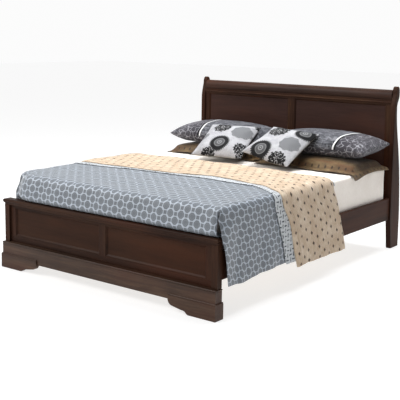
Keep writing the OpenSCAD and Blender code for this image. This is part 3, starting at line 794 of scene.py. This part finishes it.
def inflate(o, start, grow, cap, flange, w, d):
    """Runs Cloth with pressure for 20 frames and keeps its result; a sewn flange stays flat."""
    m = o.modifiers.new("air", "CLOTH")
    c = m.settings
    c.quality = 5
    c.mass = 0.25
    c.tension_stiffness = c.compression_stiffness = 20.0
    c.shear_stiffness = 8.0
    c.bending_stiffness = 0.4
    c.use_pressure = True
    c.uniform_pressure_force = grow
    c.effector_weights.gravity = 0
    m.collision_settings.use_collision = False
    m.point_cache.frame_start, m.point_cache.frame_end = 1, 20
    scene = bpy.context.scene
    for f in range(1, 21):
        scene.frame_set(f)
    blown = o.evaluated_get(bpy.context.evaluated_depsgraph_get())
    move = np.array([v.co for v in blown.data.vertices], float) - start
    size = np.linalg.norm(move, axis=1, keepdims=True)
    move *= np.minimum(1, cap / np.maximum(size, 1e-9))
    if flange:
        edge = np.minimum(w / 2 - np.abs(start[:, 0]), d / 2 - np.abs(start[:, 1]))
        move *= smooth(edge, flange - 0.004, flange + 0.03)[:, None]
    o.modifiers.remove(m)
    put_points(o, start + move)
    scene.frame_set(1)


def points(o):
    co = np.empty(len(o.data.vertices) * 3, np.float32)
    o.data.vertices.foreach_get("co", co)
    return co.reshape(-1, 3).astype(float)


def put_points(o, co):
    o.data.vertices.foreach_set("co", np.asarray(co, np.float32).ravel())
    o.data.update()


def to_world(m, co):
    a = np.array(m)
    return co @ a[:3, :3].T + a[:3, 3]


def to_local(m, co):
    return to_world(m.inverted(), co)


def pose(x, y, z, turn=0.0, tilt=0.0, lean=0.0):
    """A pillow's place: y is measured from the foot; angles in degrees."""
    return (Matrix.Translation((x, y + FOOT, z)) @ Matrix.Rotation(math.radians(turn), 4, "Z")
            @ Matrix.Rotation(math.radians(lean), 4, "Y") @ Matrix.Rotation(math.radians(tilt), 4, "X"))


THROW = dict(w=0.475, d=0.470, puff=0.056)
throw_at = {"l": pose(-0.255, 1.757, 0.813, 10, 28.5), "r": pose(0.272, 1.745, 0.822, -5, 29, 3)}


def in_throw(co, m):
    """World points in the space of the cushion at m, and their u, v on its face."""
    q = to_local(m, co)
    return q, q[:, 0] / (THROW["w"] / 2), q[:, 1] / (THROW["d"] / 2)


def keep_off(co, m, way, swell):
    """Moves world points in the leaning cushion at m to just before (way 1) or behind (-1) it."""
    q, u, v = in_throw(co, m)
    inside = (np.abs(u) < 1) & (np.abs(v) < 1)
    h = pad_height(np.clip(u, -1, 1), np.clip(v, -1, 1), THROW["puff"] * swell) + 0.003
    q[:, 2] = np.where(inside & (way * q[:, 2] < h), way * h, q[:, 2])
    return to_world(m, q)


def place(o, m, co_world):
    """Leaves the object at m with its mesh such that its world points are co_world, and smooths it."""
    put_points(o, to_local(m, co_world))
    o.matrix_world = m
    subdivide(o)
    return o


def khaki(side, tag):
    """A flanged sham that lies flat at the head, with its outer end hanging over the side."""
    lo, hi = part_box("khaki_sham_" + tag)
    c = (lo + hi) / 2
    front = lo.y + (0.092 if tag == "l" else 0.016)
    c.y = (front + hi.y) / 2
    w, d = hi.x - lo.x, hi.y - front
    o = pillow("khaki_pillow_" + tag, w, d, 0.040, khaki_cloth(w, d), pull=0.012, flange=0.05, n=(70, 48),
               grow=3.0, cap=0.008)
    m = pose(c.x, c.y - FOOT, lo.z + 0.043)
    co = to_world(m, points(o))
    y0 = co[:, 1] - FOOT
    # the flange settles on to the mattress and hangs over its edge
    edge = np.minimum(w / 2 - np.abs(co[:, 0] - c.x), d / 2 - np.abs(co[:, 1] - c.y))
    fl = 1 - smooth(edge, 0.03, 0.085)
    co[:, 2] -= fl * 0.034 * (1 + 0.15 * np.sin(co[:, 0] * 17 + 1) * np.sin(y0 * 13))
    # beyond the mattress it goes down, most at its front corner
    over = np.maximum(side * co[:, 0] - matt_hi.x - 0.002, 0)
    fore = 1 - smooth(y0, front - FOOT + 0.02, front - FOOT + 0.20)
    co[:, 2] -= over * (0.85 + 0.85 * fore)
    co[:, 0] -= side * over * over * 5.0
    co[:, 2] = np.clip(co[:, 2], np.where(over > 0.001, 0.60, matt_hi.z + 0.0014), hi.z - 0.0008)
    for k in "lr":
        co = keep_off(co, throw_at[k], -1, 1.12)
    return place(o, m, co)


def grey(side, tag):
    """A large plump sham that lies on the khaki one, tilted a little."""
    lo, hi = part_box("grey_sham_" + tag)
    c = (lo + hi) / 2
    w, d = 0.930, 0.455
    at, slant = (0.112, -0.08) if tag == "l" else (0.220, 0.23)
    o = pillow("grey_pillow_" + tag, w, d, 0.094, grey_cloth("grey_cloth_" + tag, at, side, slant), pull=0.02,
               under=(0.080, 3.2, 0.5), n=(72, 46), grow=3.5, cap=0.010, p=2.5, q=0.56)
    m = pose(c.x + side * 0.004, c.y - FOOT, lo.z + 0.079, tilt=4)
    co = to_world(m, points(o))
    # its underside flattens within the last few millimetres
    soft = 0.012
    low = lo.z + soft
    co[:, 2] = np.where(co[:, 2] < low, low - soft * np.tanh((low - co[:, 2]) / soft), co[:, 2])
    co[:, 1] = np.minimum(co[:, 1], hi.y + 0.001)
    for k in "lr":
        co = keep_off(co, throw_at[k], -1, 1.12)
    return place(o, m, co)


BLOOMS = {
    "l": [("dahlia", -0.065, 0.115, 0.082), ("daisy", -0.005, -0.100, 0.088),
          ("aster", 0.125, 0.065, 0.090), ("dahlia", -0.075, -0.220, 0.068),
          ("dahlia", 0.200, -0.130, 0.072), ("dahlia", 0.235, -0.222, 0.070),
          ("aster", -0.190, -0.010, 0.052), ("dahlia", 0.232, 0.215, 0.060)],
    "r": [("dahlia", -0.070, 0.115, 0.092), ("daisy", -0.070, -0.140, 0.092),
          ("aster", 0.120, -0.020, 0.085), ("dahlia", 0.110, -0.210, 0.090),
          ("daisy", 0.150, 0.155, 0.086), ("aster", -0.215, 0.080, 0.048)],
}


def throw(tag):
    """A square cushion that leans back on the grey shams."""
    o = pillow("floral_cushion_" + tag, THROW["w"], THROW["d"], THROW["puff"],
               floral_cloth("floral_cloth_" + tag, BLOOMS[tag]), pull=0.05, n=(44, 44), grow=4.5, cap=0.012)
    m = throw_at[tag]
    co = to_world(m, points(o))
    if tag == "r":
        # its lower left corner rides up on the other cushion
        _, u, v = in_throw(co, m)
        lift = smooth(-u, -0.5, 1.1) * smooth(-v, -0.7, 1.1)
        co[:, 2] += 0.050 * lift
        co = keep_off(co, throw_at["l"], 1, 1.1)
    # nothing of it is below the coverlet, or behind that below the sheet
    rest = np.where(co[:, 1] - FOOT < 1.575, cov_hi.z + 0.003, matt_hi.z + 0.004)
    co[:, 2] = np.maximum(co[:, 2], rest)
    return place(o, m, co)


# ---------------------------------------------------------------- mattress and sheet

def plan_points(lo, hi, radius):
    """The outline of a box seen from above, with round corners."""
    hx, hy = (hi.x - lo.x) / 2 - radius, (hi.y - lo.y) / 2 - radius
    return [(sx * hx + radius * math.cos(a), sy * hy + radius * math.sin(a))
            for sx, sy, start in ((1, -1, -90), (1, 1, 0), (-1, 1, 90), (-1, -1, 180))
            for a in np.radians(start + np.linspace(0, 90, 9))]


def rounded_box(name, lo, hi, plan, edge, step, mat, bottom=True, wrinkle=None):
    """A box with round corners in plan and soft edges, in rings from its bottom to its top.

    wrinkle is a function that moves its points.
    """
    hx, hy = (hi.x - lo.x) / 2, (hi.y - lo.y) / 2
    cx, cy = (hi.x + lo.x) / 2, (hi.y + lo.y) / 2
    pts = plan_points(lo, hi, plan)
    ring = []
    for i, p in enumerate(pts):
        q = pts[(i + 1) % len(pts)]
        n = max(1, round(math.dist(p, q) / step))
        ring += [(p[0] + (q[0] - p[0]) * k / n, p[1] + (q[1] - p[1]) * k / n) for k in range(n)]
    ring = np.array(ring)
    rows = []  # (inset, height)
    if bottom:
        rows += [(edge * (1 - math.sin(a)), lo.z + edge * (1 - math.cos(a)))
                 for a in np.radians(np.linspace(8, 82, 6))]
    nz = max(3, round((hi.z - lo.z) / step))
    rows += [(0.0, z) for z in np.linspace(lo.z + (edge if bottom else 0), hi.z - edge, nz)]
    rows += [(edge * (1 - math.cos(a)), hi.z - edge * (1 - math.sin(a)))
             for a in np.radians(np.linspace(12, 90, 7))]
    verts, faces = [], []
    n = len(ring)

    def inset(k):
        return ring * [(hx - k) / hx, (hy - k) / hy]

    for k, z in rows:
        r = inset(k)
        verts += [(x + cx, y + cy, z) for x, y in r]
    for j in range(len(rows) - 1):
        for i in range(n):
            a, b = j * n + i, j * n + (i + 1) % n
            faces.append((a, b, b + n, a + n))

    def lid(base, z, up):
        """Closes the flat top or bottom with shrinking rings."""
        last, count = base, 26
        for k in range(1, count):
            r = inset(edge) * (1 - k / count)
            first = len(verts)
            verts.extend((x + cx, y + cy, z) for x, y in r)
            for i in range(n):
                a, b = last + i, last + (i + 1) % n
                c, d = first + (i + 1) % n, first + i
                faces.append((a, b, c, d) if up else (d, c, b, a))
            last = first
        tip = len(verts)
        verts.append((cx, cy, z))
        for i in range(n):
            a, b = last + i, last + (i + 1) % n
            faces.append((a, b, tip) if up else (b, a, tip))

    lid((len(rows) - 1) * n, hi.z, True)
    if bottom:
        lid(0, lo.z, False)
    co = np.array(verts)
    if wrinkle is not None:
        co = wrinkle(co)
    return make(name, co, faces, mat)


def mattress():
    """The core under the sheet, a little smaller than its CAD node so that the sheet clears it."""
    inset, plan = 0.010, 0.036
    lo = matt_lo + Vector((inset, inset, 0.0005))
    hi = matt_hi - Vector((inset, inset, 0.0085))
    core = rounded_box("mattress_core", lo, hi, plan, 0.022, 0.05, ticking_cloth())
    # two welts run round the core, one at each face
    for k, z in enumerate((lo.z + 0.012, hi.z - 0.012)):
        welt("mattress_welt_%d" % k, lo, hi, plan, z)
    return core


def welt(name, lo, hi, plan, z):
    """A thin taped cord round the mattress at height z."""
    cu = bpy.data.curves.new(name, "CURVE")
    cu.dimensions, cu.bevel_depth, cu.bevel_resolution = "3D", 0.0035, 2
    sp = cu.splines.new("POLY")
    pts = plan_points(lo, hi, plan)
    sp.points.add(len(pts) - 1)
    for q, (x, y) in zip(sp.points, pts):
        q.co = ((lo.x + hi.x) / 2 + x, (lo.y + hi.y) / 2 + y, z, 1)
    sp.use_cyclic_u = True
    cu.materials.append(sheet_cloth(name + "_tape", rgb("d6d1c4"), rgb("ece8de")))
    o = bpy.data.objects.new(name, cu)
    bpy.context.scene.collection.objects.link(o)
    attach(o, "mattress")


def fitted_sheet():
    """A stretched skin round the mattress, open below."""
    lo = matt_lo + Vector((0.0012, 0.0012, 0.020))
    hi = matt_hi - Vector((0.0012, 0.0012, 0.0008))

    def crease(co):
        """Draws fine creases into the sides and the top; points only move inward."""
        x, y, z = co.T
        side = smooth(hi.z - z, 0.0, 0.06)
        along = np.where(np.abs(x) > hi.x - 0.03, y, x)
        low = smooth(hi.z - z, 0.05, 0.28)
        f = ripple(along, z, (0.0014, 0.21, 0.9, 0.2), (0.0010, 0.13, -0.7, 1.3), (0.0007, 0.067, 0.5, 2.0))
        drag = 0.0012 * np.sin(along * 9 + (hi.z - z) * 22) * low
        out_x = np.sign(x) * (np.abs(x) > hi.x - 0.02)
        out_y = np.sign(y - (lo.y + hi.y) / 2) * ((y < lo.y + 0.02) | (y > hi.y - 0.02))
        n = np.stack([out_x, out_y, np.zeros_like(x)], -1)
        out = co - n * (np.clip(0.0020 - f - drag, 0, 0.0042) * side)[:, None]
        top = (1 - side) * np.where(z > hi.z - 0.004, 1, 0)
        waves = ripple(x, y, (0.0008, 0.5, 0.7, 0.0), (0.0006, -0.3, 0.37, 1.0),
                       (0.0005, 0.17, -0.26, 2.0))
        out[:, 2] -= top * np.clip(0.0012 + waves, 0, 0.003)
        return out

    white = sheet_cloth("white_sheet", rgb("f0e7dd"), rgb("fdf6ee"))
    o = rounded_box("fitted_sheet", lo, hi, 0.038, 0.024, 0.024, white, bottom=False, wrinkle=crease)
    m = o.modifiers.new("cloth", "SOLIDIFY")
    m.thickness, m.offset = 0.0011, -1.0
    return o


# ---------------------------------------------------------------- build the soft goods

def bed_piece(o, body, node):
    """Puts a piece on its body, in place of its CAD node if it has one."""
    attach(o, body)
    if node:
        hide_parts(node)
    return o


core = bed_piece(mattress(), "mattress", "mattress")
sheet = bed_piece(fitted_sheet(), "mattress", None)

quilt = bed_piece(comforter(), "comforter", "comforter")
band = bed_piece(lining(), "comforter", "lining_band")
cover = bed_piece(coverlet(), "coverlet", "coverlet")

for side, tag in ((-1, "l"), (1, "r")):
    bed_piece(khaki(side, tag), "khaki_sham_" + tag, "khaki_sham_" + tag)
    bed_piece(grey(side, tag), "grey_sham_" + tag, "grey_sham_" + tag)
    bed_piece(throw(tag), "throw_" + tag, "throw_" + tag)


# ---------------------------------------------------------------- studio

SOFT_LIGHT = 0.46  # the even part of the light from all round
SOFT_LEAN = (-0.42, -0.02, 0.10)  # this light is stronger on the left, and a little stronger above
SEEN_LIGHT = 0.97  # the background that the camera sees
FLOOR_GLOW = 0.72  # keeps the grey floor pale under the bed's soft shadows
FLOOR_HALF = 30


def floor_paint(name, colour):
    s = Shader(name, Specular_IOR_Level=0.2, Emission_Color=(1, 1, 1, 1), Emission_Strength=FLOOR_GLOW)
    darker = tuple(0.985 * c for c in colour[:3]) + (1.0,)
    shade = s.ramp(s.noise(s.point(), 0.8, 2.0), (0.0, darker), (1.0, colour))
    return s.finish(shade, 0.9)


me = bpy.data.meshes.new("studio_floor")
corners = [(x * FLOOR_HALF, y * FLOOR_HALF, 0) for x, y in ((-1, -1), (1, -1), (1, 1), (-1, 1))]
me.from_pydata(corners, [], [(0, 1, 2, 3)])
me.materials.append(floor_paint("studio_floor", rgb("a6a6a6")))
floor = bpy.data.objects.new("studio_floor", me)
floor.location.z = cad_lo.z - 0.0005
bpy.context.scene.collection.objects.link(floor)

world = bpy.data.worlds.new("studio")
world.use_nodes = True
back = world.node_tree.nodes["Background"]
back.inputs[0].default_value = (1.0, 1.0, 1.0, 1.0)
seen = world.node_tree.nodes.new("ShaderNodeLightPath")
level = world.node_tree.nodes.new("ShaderNodeMix")
level.data_type = "FLOAT"
level.inputs[3].default_value = SEEN_LIGHT
way = world.node_tree.nodes.new("ShaderNodeTexCoord")
dot = world.node_tree.nodes.new("ShaderNodeVectorMath")
dot.operation = "DOT_PRODUCT"
dot.inputs[1].default_value = SOFT_LEAN
total = world.node_tree.nodes.new("ShaderNodeMath")
total.inputs[1].default_value = SOFT_LIGHT
for a, b in ((seen.outputs["Is Camera Ray"], level.inputs[0]), (way.outputs["Generated"], dot.inputs[0]),
             (dot.outputs["Value"], total.inputs[0]), (total.outputs[0], level.inputs[2]),
             (level.outputs[0], back.inputs[1])):
    world.node_tree.links.new(a, b)
bpy.context.scene.world = world


def lamp(name, at, aim, size, power, colour):
    la = bpy.data.lights.new(name, "AREA")
    la.shape, la.size, la.energy, la.color = "DISK", size, power, colour
    o = bpy.data.objects.new(name, la)
    o.location = at
    o.rotation_euler = (Vector(aim) - Vector(at)).to_track_quat("-Z", "Y").to_euler()
    bpy.context.scene.collection.objects.link(o)
    return o


lamp("key", (-3.4, -4.6, 4.6), (0, -0.2, 0.5), 3.0, 230, (1.0, 0.99, 0.98))
top_lamp = lamp("top", (0.4, 1.0, 4.6), (0, 0.2, 0.6), 3.2, 300, (0.97, 0.985, 1.0))
top_lamp.visible_glossy = False  # it would lie as a haze on the headboard

# the camera fitted to the photograph: its place, its angles in degrees, its lens and its shift
CAM_AT = (3.9248, -5.2474, 1.7028)
CAM_TURN, CAM_DOWN, CAM_ROLL = 37.672, 8.3758, 0.7914
cam = bpy.data.objects.new("camera", bpy.data.cameras.new("camera"))
cam.data.sensor_width = 36.0
cam.data.lens = 79.04
cam.data.shift_y = -0.10
cam.data.clip_end = 200
turn, down, roll = (Matrix.Rotation(math.radians(degrees), 4, axis) for degrees, axis in
                    ((CAM_TURN, "Z"), (90 - CAM_DOWN, "X"), (CAM_ROLL, "Z")))
cam.matrix_world = Matrix.Translation(CAM_AT) @ (turn @ down) @ roll
bpy.context.scene.collection.objects.link(cam)
bpy.context.scene.camera = cam
bpy.context.scene.view_settings.view_transform = "Standard"
